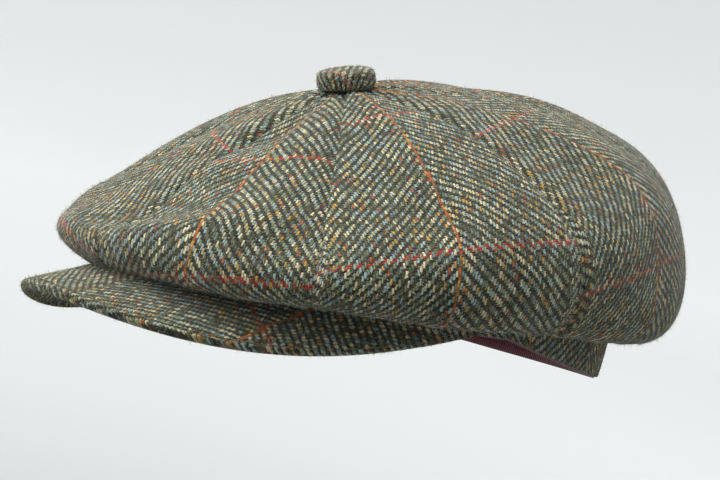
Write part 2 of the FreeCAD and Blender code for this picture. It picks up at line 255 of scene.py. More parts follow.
# %% Relief of the cloth
FOLDS = [
    # angle and share at both ends, depth in mm, half width in degrees
    (12, 0.15, -6, 0.20, -2.8, 5.0),
    (-4, 0.20, 10, 0.26, 2.0, 6.0),
    (40, 0.18, 29, 0.37, 2.4, 9.0),
    (27, 0.36, 14, 0.47, 1.8, 8.0),
    (46, 0.12, 58, 0.30, -1.6, 8.0),
    (8, 0.34, -8, 0.46, -1.5, 7.0),
    (62, 0.42, 50, 0.56, -1.0, 6.0),
    (100, 0.30, 112, 0.50, -1.1, 7.0),
    (150, 0.24, 170, 0.44, -1.3, 8.0),
    (205, 0.30, 190, 0.48, 1.2, 8.0),
    (250, 0.22, 262, 0.44, -1.5, 7.0),
    (300, 0.20, 315, 0.40, 1.5, 8.0),
    (338, 0.28, 330, 0.50, -1.2, 7.0),
]


def fold_relief(angle, share):
    """Each fold is a hill across its line, fading out past both ends."""
    degrees = (np.degrees(angle) + 30) % 360 - 30
    total = np.zeros(np.broadcast(degrees, share).shape)
    for a0, s0, a1, s1, depth, width in FOLDS:
        if a0 > 330 or a1 > 330:
            turned = np.where(degrees < 0, degrees + 360, degrees)
        else:
            turned = degrees
        dx, dy = (a1 - a0), (s1 - s0) * 120
        px, py = turned - a0, (share - s0) * 120
        along = (px * dx + py * dy) / (dx * dx + dy * dy)
        across = (px * dy - py * dx) / math.hypot(dx, dy)
        past = np.maximum(np.maximum(-along, along - 1), 0)
        hill = bump(across, width) - 0.45 * bump(across - 1.8 * width, width)
        total += depth * MM * hill * bump(past, 0.45)
    return total


def slow_waves(angle, share, seed=4, count=14, size=0.00055):
    """A sum of long sine waves round and along the cap, each with its own start."""
    rng = np.random.default_rng(seed)
    total = 0
    for _ in range(count):
        around, along = rng.integers(1, 11), rng.uniform(4, 22)
        start = rng.uniform(0, 2 * math.pi)
        total = total + np.sin(around * angle + along * share + start) * size / (0.6 + around * 0.12)
    return total * np.clip(share * 8, 0, 1) / math.sqrt(count / 4)


def gathers(angle, share):
    """Small upright waves that grow towards the hem, and tiny ones at the button."""
    hem = np.clip((share - 0.60) / 0.3, 0, 1) ** 1.5
    wave = np.sin(46 * angle + 3 * np.sin(5 * angle)) + 0.6 * np.sin(71 * angle + 2)
    top = bump(share - 0.05, 0.035)
    return hem * wave * 0.00035 + top * np.sin(32 * angle) * 0.00025


# %% [markdown]
# ## A gore
# A gore is one wedge of the crown. Its middle stands a little proud and its
# two long edges sink into the seams, with the folded seam allowance making a
# low ridge just beside each seam. The cloth is cut straight, so the weft
# lies straight across the wedge: in the flat piece a point's height is the
# long side of a triangle, which is where the square root below comes from.
# The red rows are placed on each gore one by one, since every gore is cut from
# another place in the cloth.

# %% Gore shape and cloth coordinates
RED_ROWS = [  # per gore: distance of each red row from the button, slope across
    ((0.071, 0.139), -0.08),
    ((0.041, 0.130), 0.02),
    ((0.073, 0.163), 0.20),
    ((0.060, 0.148), 0.12),
    ((0.048, 0.136), -0.10),
    ((0.068, 0.156), -0.18),
    ((0.052, 0.134), 0.00),
    ((0.060, 0.131), 0.05),
]
TYPICAL_LENGTH, BOW = 0.24, 0.7  # a gore's length in metres, and how the weft bows


def gore_grid(index, across, along, lining=False, start=0.012):
    """Points, cloth UV and red-row distance over one gore.

    The crown's surface is moved along its normal by a height: a rounded hill
    over the gore's width, less the seams, plus folds, waves and gathers.
    """
    share = start + (1 - start) * np.linspace(0, 1, along)
    side = np.linspace(-1, 1, across)
    side = np.sign(side) * (1 - (1 - np.abs(side)) ** 1.35)
    angle = (index + 0.5 + side / 2) * GORE_ANGLE
    smooth = crown_surface(angle, share, lining)
    n = surface_normals(smooth)
    if n[across // 2, along // 4, 2] < 0:
        n = -n
    along_run = run_length(smooth, 1) + start * TYPICAL_LENGTH
    across_run = run_length(smooth, 0)
    u = across_run - across_run[across // 2][None, :]
    v = np.sqrt(np.maximum(along_run**2 - (BOW * u) ** 2, 1e-9))
    seam_distance = across_run[-1][None, :] / 2 - np.abs(u)
    t = (share - start) / (1 - start)
    rise = np.sin(math.pi * np.minimum(t * 1.15, 1.0)).clip(0, 1) ** 0.7
    relief = fold_relief(angle[:, None], share[None, :]) + slow_waves(angle[:, None], share[None, :])
    hill = np.cos(side * math.pi / 2).clip(0, 1) ** 0.8
    height = PUFF * hill[:, None] * rise[None, :]
    if not lining:
        seam = np.clip(t * 9, 0, 1)[None, :]
        height = height - 0.0008 * bump(seam_distance, 0.0015) * seam
        height = height + 0.0003 * bump(seam_distance - 0.0050, 0.0030) * seam
        height = height + relief + gathers(angle[:, None], share[None, :])
        height = height * np.clip((1 - t) * 14, 0.15, 1)[None, :] + TWEED / 2
    else:
        slack = np.clip(t / 0.12, 0, 1) * np.clip((1 - t) / 0.25, 0, 1)
        height = height * (1 - slack) + (relief - 0.0022) * slack[None, :] - TWEED / 2 - 0.0003
    points = smooth + n * height[..., None]
    rows, slope = RED_ROWS[index]
    straight = v - slope * u
    red = np.stack([straight - r for r in rows])
    nearest = np.take_along_axis(red, np.abs(red).argmin(0)[None], 0)[0]
    return points, np.stack([u, v], -1), nearest


# %% [markdown]
# ## Small tools for materials
# A material is a recipe of nodes. Two little classes keep the recipes short.
# `Value` wraps one output socket, and adding, subtracting or comparing two
# values adds the Math node that does it. `Recipe` makes every other node from
# its type, its settings and what goes into its sockets.


# %% Recipe classes
class Value:
    """One number or colour that flows through a material."""

    def __init__(self, recipe, socket):
        self.recipe, self.socket = recipe, socket

    def math(self, operation, *others):
        """A Math node with this value in its first socket."""
        inputs = dict(enumerate([self, *others]))
        return self.recipe.add("ShaderNodeMath", {"operation": operation}, inputs)

    def flipped(self, operation, first):
        """A Math node with a plain number first and this value second."""
        inputs = {0: first, 1: self}
        return self.recipe.add("ShaderNodeMath", {"operation": operation}, inputs)

    def __add__(self, other):
        return self.math("ADD", other)

    def __radd__(self, other):
        return self.flipped("ADD", other)

    def __sub__(self, other):
        return self.math("SUBTRACT", other)

    def __rsub__(self, other):
        return self.flipped("SUBTRACT", other)

    def __mul__(self, other):
        return self.math("MULTIPLY", other)

    def __rmul__(self, other):
        return self.flipped("MULTIPLY", other)

    def __truediv__(self, other):
        return self.math("DIVIDE", other)

    def __rtruediv__(self, other):
        return self.flipped("DIVIDE", other)

    def __lt__(self, other):
        return self.math("LESS_THAN", other)

    def __gt__(self, other):
        return self.math("GREATER_THAN", other)

    def floor(self):
        return self.math("FLOOR")

    def fraction(self):
        return self.math("FRACT")

    def size(self):
        return self.math("ABSOLUTE")


class Recipe:
    """A new material and one method that adds any node to it."""

    def __init__(self, name, roughness=0.8, **constants):
        self.material = bpy.data.materials.new(name)
        self.material.use_nodes = True
        self.tree = self.material.node_tree
        self.shader = self.tree.nodes["Principled BSDF"]
        self.set(Roughness=roughness, **constants)

    def add(self, kind, settings=None, inputs=None, output=0):
        """Any node: its settings are made first, then its sockets are filled."""
        node = self.tree.nodes.new(kind)
        for key, value in (settings or {}).items():
            if key == "stops":
                ramp = node.color_ramp.elements
                while len(ramp) < len(value):
                    ramp.new(0.5)
                for element, (place, colour) in zip(ramp, value):
                    element.position = place
                    element.color = (*colour, 1)
            elif key == "interpolation":
                node.color_ramp.interpolation = value
            else:
                setattr(node, key, value)
        for key, value in (inputs or {}).items():
            self.feed(node.inputs[key], value)
        return Value(self, node.outputs[output])

    def feed(self, socket, value):
        """Link a value to a socket, or write a plain number or colour into it."""
        if isinstance(value, Value):
            self.tree.links.new(value.socket, socket)
        else:
            socket.default_value = value

    def set(self, **values):
        """Fill the shader's own sockets; an underscore stands for a space."""
        for key, value in values.items():
            self.feed(self.shader.inputs[key.replace("_", " ")], value)

    def mix(self, factor, a, b, blend="MIX"):
        """Two colours blended by a factor."""
        a, b = [(*x, 1) if isinstance(x, tuple) else x for x in (a, b)]
        settings = {"data_type": "RGBA", "blend_type": blend}
        return self.add("ShaderNodeMix", settings, {0: factor, 6: a, 7: b}, 2)

    def ramp(self, factor, stops, interpolation="LINEAR"):
        """A number turned into a colour by a list of stops."""
        settings = {"stops": stops, "interpolation": interpolation}
        return self.add("ShaderNodeValToRGB", settings, {0: factor})

    def noise(self, vector, scale, detail=2.0):
        """Soft random grey from 0 to 1."""
        inputs = {"Vector": vector, "Scale": scale, "Detail": detail}
        return self.add("ShaderNodeTexNoise", {}, inputs)

    def dice(self, x, y, z=0.0):
        """A random number that stays the same for the same three whole numbers."""
        place = self.add("ShaderNodeCombineXYZ", {}, {0: x, 1: y, 2: z})
        return self.add("ShaderNodeTexWhiteNoise", {"noise_dimensions": "3D"}, {"Vector": place})

    def grey(self, value):
        """The same number for red, green and blue."""
        return self.add("ShaderNodeCombineXYZ", {}, {0: value, 1: value, 2: value})

    def raise_by(self, height, distance, strength=1.0):
        """Fine relief: a Bump node on the shader's normal."""
        inputs = {"Height": height, "Distance": distance, "Strength": strength}
        self.set(Normal=self.add("ShaderNodeBump", {}, inputs))


def colour(red, green, blue):
    """A screen colour from 0 to 255, turned into the linear light Blender uses."""
    c = np.array([red, green, blue]) / 255
    return tuple(np.where(c <= 0.04045, c / 12.92, ((c + 0.055) / 1.055) ** 2.4).tolist())


# %% [markdown]
# ## Herringbone tweed
# In a two-and-two twill each yarn goes over two and under two, and every row
# steps one yarn sideways, which draws slanting ribs. In herringbone the step
# turns round at a centre line, so the ribs meet like the bones of a fish. The
# recipe counts yarns in both directions from the UV map, asks which of the two
# is on top, and then gives each visible float its own colour. The warp is
# light and mixed: cream, sage, pale blue, with sparks of mustard and rust. The
# weft is dark: charcoal, navy and moss. One orange warp yarn marks each centre
# line and a red weft yarn crosses every so often.

# %% Tweed recipe
YARN = 0.00106  # from one yarn to the next
PATTERN = 0.097  # from one centre line to the next
LIGHT_YARNS = [
    (0.00, colour(136, 144, 112)),
    (0.16, colour(218, 208, 168)),
    (0.30, colour(100, 108, 74)),
    (0.42, colour(158, 180, 172)),
    (0.54, colour(190, 182, 138)),
    (0.65, colour(112, 130, 124)),
    (0.76, colour(80, 80, 54)),
    (0.85, colour(196, 152, 70)),
    (0.92, colour(150, 168, 168)),
    (0.965, colour(170, 92, 50)),
]
DARK_YARNS = [
    (0.00, colour(44, 45, 38)),
    (0.28, colour(30, 36, 48)),
    (0.46, colour(62, 64, 46)),
    (0.62, colour(27, 27, 26)),
    (0.78, colour(54, 52, 42)),
    (0.90, colour(84, 76, 42)),
    (0.96, colour(96, 48, 36)),
]
ORANGE_YARNS = (224, 126, 36), (196, 96, 34), (214, 150, 56), (150, 108, 60)
RED_YARNS = (186, 34, 30), (150, 30, 28), (200, 66, 48), (118, 40, 34)
WOOL_HAZE = [
    (0.35, colour(46, 48, 38)),
    (0.50, colour(96, 98, 76)),
    (0.66, colour(168, 166, 136)),
]


def yarn_colours(recipe, dice, *stops):
    """Pick one flat colour for each yarn from a few equal steps."""
    steps = [(k / len(stops), colour(*stop)) for k, stop in enumerate(stops)]
    return recipe.ramp(dice, steps, "CONSTANT")


def herringbone(name):
    """Tweed material: count yarns, see which is on top, colour each float, add fibres."""
    r = Recipe(name, roughness=0.95)
    r.set(Sheen_Weight=0.12, Sheen_Roughness=0.5, Specular_IOR_Level=0.12)
    uv = r.add("ShaderNodeUVMap", {"uv_map": "cloth"})

    def drift(start, scale, amount):
        """Push the cloth coordinate about a little, so no yarn is quite straight."""
        noise = r.add("ShaderNodeTexNoise", {}, {"Vector": uv, "Scale": scale, "Detail": 2.0}, "Color")
        even = r.add("ShaderNodeVectorMath", {"operation": "SUBTRACT"}, {0: noise, 1: (0.5,) * 3})
        small = r.add("ShaderNodeVectorMath", {"operation": "SCALE"}, {0: even, "Scale": amount})
        return r.add("ShaderNodeVectorMath", {"operation": "ADD"}, {0: start, 1: small})

    moved = drift(drift(uv, 620.0, 0.0013), 45.0, 0.004)
    across = r.add("ShaderNodeSeparateXYZ", {}, {0: moved})
    along = Value(r, across.socket.node.outputs[1])
    folded = ((across / PATTERN + 0.5).fraction() - 0.5).size() * PATTERN
    warp_count, weft_count = folded / YARN + 0.5, along / YARN
    warp_number, weft_number = warp_count.floor(), weft_count.floor()

    def strands(x_scale, y_scale):
        """Noise drawn out into fine streaks, like the fibres in a yarn."""
        stretch = r.add("ShaderNodeMapping", {}, {"Vector": uv, "Scale": (x_scale, y_scale, 1.0)})
        return r.noise(stretch, 1.0, 3.0)

    long_fibres, cross_fibres = strands(4200.0, 900.0), strands(1000.0, 3600.0)
    loose = (long_fibres + cross_fibres - 1.0) * 0.55
    step = (weft_number - warp_number) / 4
    warp_on_top = step.fraction() < 0.49
    side = (across / PATTERN + 0.5).floor() + (across > 0.0)
    light = r.ramp(r.dice(warp_number, step.floor(), side), LIGHT_YARNS, "CONSTANT")
    dark = r.ramp(r.dice(warp_number - weft_number, weft_number, side + 7), DARK_YARNS, "CONSTANT")
    orange = yarn_colours(r, r.dice(warp_number, step.floor(), 3.0), *ORANGE_YARNS)
    red_yarn = yarn_colours(r, r.dice(warp_number, weft_number, 5.0), *RED_YARNS)
    light = r.mix(warp_number < 0.5, light, orange)
    red_row = r.add("ShaderNodeAttribute", {"attribute_name": "red_row"}, {}, "Fac")
    dark = r.mix((warp_number < 0.5) * 0.6, dark, orange)
    dark = r.mix(red_row.size() < YARN * 1.05, dark, red_yarn)
    warp_round = ((warp_count.fraction() - 0.5) * math.pi).math("COSINE")
    weft_round = ((weft_count.fraction() - 0.5) * math.pi).math("COSINE")
    # Painted shade: each yarn's colour darkens towards its edges, where it dips between its
    # neighbours. The fibre streaks are the yarn's own colour.
    light_streaks_and_painted_shade = (long_fibres * 4.8 - 1.4) * (warp_round * 0.75 + 0.35)
    dark_streaks_and_painted_shade = (cross_fibres * 3.6 - 0.9) * (weft_round * 0.5 + 0.55)
    light = r.mix(1.0, light, r.grey(light_streaks_and_painted_shade), "MULTIPLY")
    dark = r.mix(1.0, dark, r.grey(dark_streaks_and_painted_shade), "MULTIPLY")
    woven = r.mix(warp_on_top, dark, light)
    patch = r.noise(uv, 55.0, 3.0)
    stray = r.noise(uv, 1500.0, 4.0)
    wool = r.ramp(stray, WOOL_HAZE)
    woven = r.mix((0.02 + patch * 0.22 + loose * 1.0).math("MAXIMUM", 0.0), woven, wool)
    tone = r.ramp(r.noise(uv, 28.0, 3.0), [(0.3, (0.50,) * 3), (0.7, (0.74,) * 3)])
    r.set(Base_Color=r.mix(1.0, woven, tone, "MULTIPLY"))
    height = warp_on_top * (warp_round * 0.75 + 0.25) + (1 - warp_on_top) * (weft_round * 0.55)
    r.raise_by(height + long_fibres * 0.7 + stray * 0.5, 0.00045, 0.9)
    return r.material


tweed = herringbone("herringbone_tweed")
print("tweed nodes:", len(tweed.node_tree.nodes))

# %% [markdown]
# ## Satin, ribbed ribbon, thread, metal and board
# The lining is satin, which is smooth one way and slightly streaked the other.
# The sweatband is a ribbed cotton ribbon whose ribs stand upright. Thread
# is twisted, so fine slanting lines run along it. The button parts are pressed
# metal whose shade and gloss change a little from spot to spot, and the board
# is a dull fibre sheet.


# %% Other finishes
def satin():
    """Dark red, with fine streaks along the cloth and a slow change of shade."""
    r = Recipe("lining_satin", roughness=0.34)
    r.set(Sheen_Weight=0.25, Coat_Weight=0.12, Anisotropic=0.4)
    uv = r.add("ShaderNodeUVMap", {"uv_map": "cloth"})
    stretch = r.add("ShaderNodeMapping", {}, {"Vector": uv, "Scale": (2200.0, 160.0, 1.0)})
    streak = r.noise(stretch, 1.0, 2.0)
    soft = r.noise(uv, 26.0, 2.0)
    base = r.ramp(streak, [(0.3, colour(84, 16, 24)), (0.7, colour(116, 28, 36))])
    shade = r.ramp(soft, [(0.3, (0.75,) * 3), (0.7, (1.1,) * 3)])
    r.set(Base_Color=r.mix(1.0, base, shade, "MULTIPLY"))
    r.raise_by(streak + soft * 2, 0.00012, 0.5)
    return r.material


def ribbed_ribbon():
    """A cosine across the ribbon makes the ribs and a finer one along it the picks."""
    r = Recipe("ribbed_ribbon", roughness=0.62)
    r.set(Sheen_Weight=0.3)
    uv = r.add("ShaderNodeUVMap", {"uv_map": "cloth"})
    across = r.add("ShaderNodeSeparateXYZ", {}, {0: uv})
    along = Value(r, across.socket.node.outputs[1])
    rib = ((across / 0.0011).fraction() * (2 * math.pi)).math("COSINE")
    pick = ((along / 0.0004).fraction() * (2 * math.pi)).math("COSINE")
    worn = r.noise(uv, 60.0, 4.0)
    # Painted shade: the ribbon is coloured darker in the troughs between ribs and lighter on their
    # crests.
    base = r.ramp(rib * 0.25 + 0.5, [(0.2, colour(66, 14, 20)), (0.8, colour(106, 26, 34))])
    r.set(Base_Color=r.mix(worn * 0.5, base, colour(92, 34, 38)))
    r.raise_by(rib + pick * 0.2, 0.00022, 0.8)
    return r.material


def twisted_thread(name, dark, light):
    """Slanting bands from a dark to a light shade, slightly raised."""
    r = Recipe(name, roughness=0.7)
    place = r.add("ShaderNodeTexCoord", {}, {}, "Object")
    strand = r.add(
        "ShaderNodeTexWave", {"wave_type": "BANDS", "bands_direction": "DIAGONAL"},
        {"Vector": place, "Scale": 900.0, "Distortion": 1.5}, "Fac",
    )
    # Painted shade: the grooves of the twist are coloured dark and the raised strands light.
    r.set(Base_Color=r.ramp(strand, [(0.2, dark), (0.8, light)]))
    r.raise_by(strand, 0.00008, 0.7)
    return r.material


def pressed_metal():
    """Grey metal whose shade and gloss both change a little from spot to spot."""
    r = Recipe("pressed_metal", roughness=0.34, Metallic=1.0)
    place = r.add("ShaderNodeTexCoord", {}, {}, "Object")
    dull = r.noise(place, 300.0, 4.0)
    r.set(Base_Color=r.ramp(dull, [(0.3, (0.52, 0.52, 0.50)), (0.7, (0.72, 0.72, 0.70))]))
    r.set(Roughness=r.noise(place, 900.0, 3.0) * 0.3 + 0.22)
    r.raise_by(dull, 0.00005, 0.4)
    return r.material


def fibre_board():
    """Nearly black pressed fibre with a dull grain."""
    r = Recipe("fibre_board", roughness=0.85)
    place = r.add("ShaderNodeTexCoord", {}, {}, "Object")
    grain = r.noise(place, 700.0, 5.0)
    r.set(Base_Color=r.ramp(grain, [(0.3, (0.012, 0.012, 0.012)), (0.7, (0.045, 0.043, 0.04))]))
    r.raise_by(grain, 0.0001, 0.5)
    return r.material


lining_satin, ribbon = satin(), ribbed_ribbon()
thread = twisted_thread("olive_thread", colour(54, 54, 40), colour(108, 104, 78))
red_thread = twisted_thread("red_thread", colour(70, 16, 20), colour(120, 36, 40))
metal, board = pressed_metal(), fibre_board()
print("finishes:", [m.name for m in (tweed, lining_satin, ribbon, thread, red_thread, metal, board)])


def dress(piece, material):
    """Give a piece one material."""
    piece.data.materials.clear()
    piece.data.materials.append(material)
    return piece


# %% [markdown]
# ## The crown
# Eight gores are made from the same function. Each is one sheet of tweed that
# is cut flat and gathered into its shape by the seams, and for each the flat
# area it was cut from is worked out.


# %% Crown gores
def declare_gore(gore, cloth):
    """The flat wedge's area: the sheet's area, but no more than its width times its length."""
    width, length = float(np.ptp(cloth[..., 0])), float(cloth[..., 1].max())
    area = min(cloth_area(gore), width * length)
    return area


crown_grids = []
for index in range(GORES):
    points, cloth, red = gore_grid(index, across=97, along=190)
    crown_grids.append(points)
    faces = grid_faces(*points.shape[:2])
    gore = make_piece(f"tweed_gore_{index + 1}", points, faces, cloth, red)
    gore.data.flip_normals()
    thicken(gore, TWEED)
    dress(gore, tweed)
    sew(gore, f"crown_gore_{index + 1}")
    area = declare_gore(gore, cloth)
print("last gore's area", round(area, 4), "square metres")

# %% [markdown]
# ## The lining
# The lining repeats the gores a little smaller, in satin, and passes over the
# top of the head band so that its edge hides behind the sweatband.

# %% Lining gores
for index in range(GORES):
    points, cloth, _ = gore_grid(index, across=25, along=90, lining=True)
    gore = make_piece(f"satin_gore_{index + 1}", points, grid_faces(*points.shape[:2]), cloth)
    gore.data.flip_normals()
    thicken(gore, SATIN)
    dress(gore, lining_satin)
    sew(gore, f"lining_gore_{index + 1}")
    area = declare_gore(gore, cloth)
print("last lining gore's area", round(area, 4), "square metres")

# %% [markdown]
# ## The head band
# The band is a folded strip of tweed. Its cross-section is a tall, thin
# rounded shape carried round the head. Its lower edge rises towards the front,
# where the peak is sewn on, and dips at the nape, where the band grips the back
# of the head. The strip it is folded from is as long as the way round the head
# and a little over, and as high as the band with its two turnings.


# %% Head band
def head_wall(angle, up_share, outward, low, high):
    """Points round the head: an oval whose lower edge rises at the sides and dips behind."""
    behind = (-np.cos(angle)).clip(0, 1)
    bottom = low + FRONT_LIFT - NAPE_DIP * (behind + 0.43 * behind * (1 - behind))
    x = (HEAD_X + outward) * np.sin(angle)
    y = -(HEAD_Y + outward) * np.cos(angle) + head_shift(angle, up_share)
    z = bottom + (high - bottom) * up_share
    return np.stack(np.broadcast_arrays(x, y, z), -1)


def folded_profile(count=40):
    """A long flat loop: share up the wall and share through it, with round ends."""
    t = np.linspace(0, 1, count, endpoint=False) * 2 * math.pi
    up = 0.5 - 0.5 * np.sign(np.cos(t)) * np.abs(np.cos(t)) ** 0.8
    through = np.sign(np.sin(t)) * np.abs(np.sin(t)) ** 0.32
    return up, through


round_count = 360
angles = (np.arange(round_count) / round_count * 2 * math.pi)[:, None]
up, through = folded_profile(48)
pucker = 0.00018 * np.sin(58 * angles) + 0.0003 * np.sin(9 * angles + 1)
middle = SWEAT_THICK + 0.0001 + BAND_THICK / 2
outward = middle + (BAND_THICK / 2 - 0.0001) * through[None, :] + pucker * (through[None, :] > 0)
seam_at_nape = bump(angles - math.pi, 0.02) * 0.0006 * (through[None, :] > 0)
band_points = head_wall(angles, up[None, :], outward - seam_at_nape, 0.0, BAND_HEIGHT)
band_points = np.concatenate([band_points, band_points[:, :1]], 1)
band_run = run_length(band_points, 0)
band_up = run_length(band_points, 1)
band_cloth = np.stack([band_run + 0.031, band_up + 0.006], -1)
band = make_piece(
    "tweed_head_band",
    band_points,
    grid_faces(round_count, band_points.shape[1], closed=True),
    band_cloth,
    band_up - 0.5,
)
weld = band.modifiers.new("close_loop", "WELD")
weld.merge_threshold = 0.00001
dress(band, tweed)
sew(band, "head_band")
cloth_area(band) / 2
print("band round", round(float(band_run[-1].mean()), 3), "m")

# %% [markdown]
# ## The sweatband and its stitches
# The sweatband is a strip of ribbed ribbon on the inside of the band. It peeks
# out as a thin dark red line under the band's edge. A row of small stitches
# holds its lower edge. Each stitch is a short tube that is fat in the middle,
# so that it looks pulled into the ribbon.


# %% Sweatband
SWEAT_LOW, SWEAT_HIGH = -0.0006, 0.0315
sweat_angles = np.linspace(0, 2 * math.pi, 361)[:, None] + math.pi
lift = np.linspace(0, 1, 15)[None, :]
ripple = 0.00012 * np.sin(40 * sweat_angles) * lift
sweat_out = SWEAT_THICK * 0.95 - ripple
sweat_points = head_wall(sweat_angles, lift, sweat_out, SWEAT_LOW, SWEAT_HIGH)
sweat_cloth = np.stack([run_length(sweat_points, 0), run_length(sweat_points, 1)], -1)
sweat = make_piece(
    "ribbed_sweatband", sweat_points, grid_faces(*sweat_points.shape[:2]), sweat_cloth
)
sweat.data.flip_normals()
thicken(sweat, SWEAT_THICK * 0.9)
dress(sweat, ribbon)
sew(sweat, "sweatband")


def stitch_row(name, path, inward, length, gap, radius, material):
    """Short tubes set end to end along a path, each fattest in the middle.

    path is (points, 3); inward is the matching direction out of the cloth.
    """
    run = run_length(path[None], 1)[0]
    count = int(run[-1] // (length + gap))
    begin = np.arange(count) * (run[-1] / count) + gap / 2
    rings, sides = 5, 6
    t = np.linspace(0, 1, rings)
    at = begin[:, None] + t[None, :] * length
    centre = np.stack([np.interp(at, run, path[:, k]) for k in range(3)], -1)
    out = np.stack([np.interp(at, run, inward[:, k]) for k in range(3)], -1)
    tangent = np.gradient(centre, axis=1)
    tangent /= np.linalg.norm(tangent, axis=-1, keepdims=True)
    cross = np.cross(tangent, out)
    swell = np.sin(math.pi * (0.12 + 0.76 * t))
    centre = centre + out * (radius * 1.1 * (swell - 0.6))[None, :, None]
    turn = (np.arange(sides) / sides * 2 * math.pi)[None, :, None, None]
    ring = out[:, None] * np.cos(turn) + cross[:, None] * np.sin(turn)
    points = centre[:, None] + ring * (radius * (0.35 + 0.65 * swell))[None, None, :, None]
    first = (np.arange(count) * rings * sides)[:, None, None]
    walls = (grid_faces(sides, rings, closed=True)[None] + first).reshape(-1, 4)
    ends = np.stack([np.arange(sides)[::-1] * rings, np.arange(sides) * rings + rings - 1])
    ends = (ends[None] + first).reshape(-1, sides)
    piece = make_piece(name, points, walls.tolist() + ends.tolist())
    dress(piece, material)
    print(name, count, "stitches")
    return piece


ring_angles = np.linspace(0, 2 * math.pi, 400)[:, None] + math.pi
sweat_line = head_wall(ring_angles, 0.09, 0.00002, SWEAT_LOW, SWEAT_HIGH)[:, 0]
inward = -np.stack([np.sin(ring_angles), -np.cos(ring_angles), 0 * ring_angles], -1)[:, 0]
sweat_stitches = stitch_row(
    "sweatband_stitches", sweat_line, inward,
    length=0.0030, gap=0.0008, radius=0.00035, material=red_thread,
)
sew(sweat_stitches, "sweatband_stitching")

# %% [markdown]
# ## The peak
# The peak is a board between two covers. Seen from the front it is an arch,
# because its seam follows the round head band while it slopes down and
# forwards, and its two sides curl down a little more than its middle. Handling
# has also curled the rim down on the wearer's right, so that its underside
# shows there. Both covers are worked out from that one arched surface: a cover
# is the surface moved up or down by half the thickness, closing round the edge.
# A row of stitches runs near the edge and pulls the cover in slightly. The wrap
# is how far round the head each horn reaches, as an angle from the front.

# %% Peak surface
PEAK_WRAP, PEAK_SLOPE = math.radians(88), math.radians(19.1)
PEAK_DEPTH, PEAK_RISE, PEAK_BASE, HORN_RISE = 0.0642, 0.0080, 0.0070, 0.0081
EDGE_LIFT, SIDE_CURL, RIGHT_CURL = 0.41, 0.217, 4.2
COVER_BULK, PEAK_CLEAR = 0.0012, 0.0006
PEAK_HALF = BOARD_THICK / 2 + GAP + COVER_BULK
STITCH_INSET, EDGE_ROLL = 0.0038, 0.0020
COVER_ROWS, COVER_COLUMNS = 181, 64


def peak_depth(turn):
    """Depth from seam to rim: full at the front, none at the horns, by a cubic."""
    return PEAK_DEPTH * (1 - np.abs(turn / PEAK_WRAP) ** 3.0)


def peak_surface(turn, share):
    """Middle of the peak: the seam oval pushed forwards and down by the depth.

    Its height is a cosine arch along the seam, plus a lift at the rim, less the
    curl of both sides and of the right-hand rim, all growing with the reach.
    """
    turn, share = np.broadcast_arrays(turn, share)
    reach = share * peak_depth(turn)
    seam_x = BAND_X + PEAK_HALF + PEAK_CLEAR
    seam_y = BAND_Y + PEAK_HALF * math.sin(PEAK_SLOPE) + PEAK_CLEAR
    rise = PEAK_BASE + PEAK_RISE * np.cos(turn / PEAK_WRAP * math.pi / 2)
    rise = rise + HORN_RISE * (turn / PEAK_WRAP) ** 4 + EDGE_LIFT * reach**2
    x = seam_x * np.sin(turn)
    rise = rise - SIDE_CURL * reach * (x / seam_x) ** 2
    right_side = ((-np.sin(turn) - 0.1) / 0.8).clip(0, 1)
    rise = rise - RIGHT_CURL * reach**2 * right_side**2
    y = -seam_y * np.cos(turn) - reach * math.cos(PEAK_SLOPE)
    z = rise - reach * math.sin(PEAK_SLOPE)
    return np.stack([x, y, z], -1)


def peak_normals(turn, share):
    """Upward direction of the peak from small steps both ways."""
    e = 0.004
    across = peak_surface(turn + e, share) - peak_surface(turn - e, share)
    along = peak_surface(turn, share + 0.01) - peak_surface(turn, share - 0.01)
    n = np.cross(along, across)
    return n / np.linalg.norm(n, axis=-1, keepdims=True)


def peak_cover(name, side):
    """One cover: the middle surface moved by the half thickness, round at the edge."""
    turn = np.linspace(-1, 1, COVER_ROWS)[:, None] * PEAK_WRAP * 0.982
    t = np.linspace(0, 1, COVER_COLUMNS)
    share = (1 - (1 - t) ** 1.8)[None, :]
    centre = peak_surface(turn, share)
    n = peak_normals(turn, share)
    to_edge = run_length(centre, 1)
    to_edge = to_edge[:, -1:] - to_edge
    closing = np.clip(1 - to_edge / EDGE_ROLL, 0, 1)
    height = PEAK_HALF * np.sqrt(np.clip(1 - closing**2.4, 0, 1))
    height = np.maximum(height, 0.00012)
    quilting = 0.0004 * bump(to_edge - STITCH_INSET, 0.0009)
    sag = 0.00025 * np.sin(turn * 9 + 1) * np.sin(share * 5)
    points = centre + n * (side * (height - quilting + sag * (closing < 0.01)))[..., None]
    cloth = np.stack([points[..., 0] - 0.066, -points[..., 1] - points[..., 2]], -1)
    red = -points[..., 1] - 0.1095
    other = -points[..., 1] - 0.1920
    red = np.where(np.abs(red) < np.abs(other), red, other)
    piece = make_piece(name, points, grid_faces(COVER_ROWS, COVER_COLUMNS), cloth, red)
    if side > 0:
        piece.data.flip_normals()
    thicken(piece, WRAPPED_TWEED)
    return piece


top_cover, under_cover = peak_cover("peak_top_tweed", 1), peak_cover("peak_under_tweed", -1)
for cover, node in ((top_cover, "peak_top_cover"), (under_cover, "peak_under_cover")):
    dress(cover, tweed)
    sew(cover, node)
    area = cloth_area(cover)
print("peak cover area", round(area, 4))

# %% [markdown]
# ## The board
# The board inside follows the same surface as its covers, set back from the
# edge so that only cloth is at the rim. Without it the covers would have
# nothing to hold them, and from the horns' open ends it can be seen.

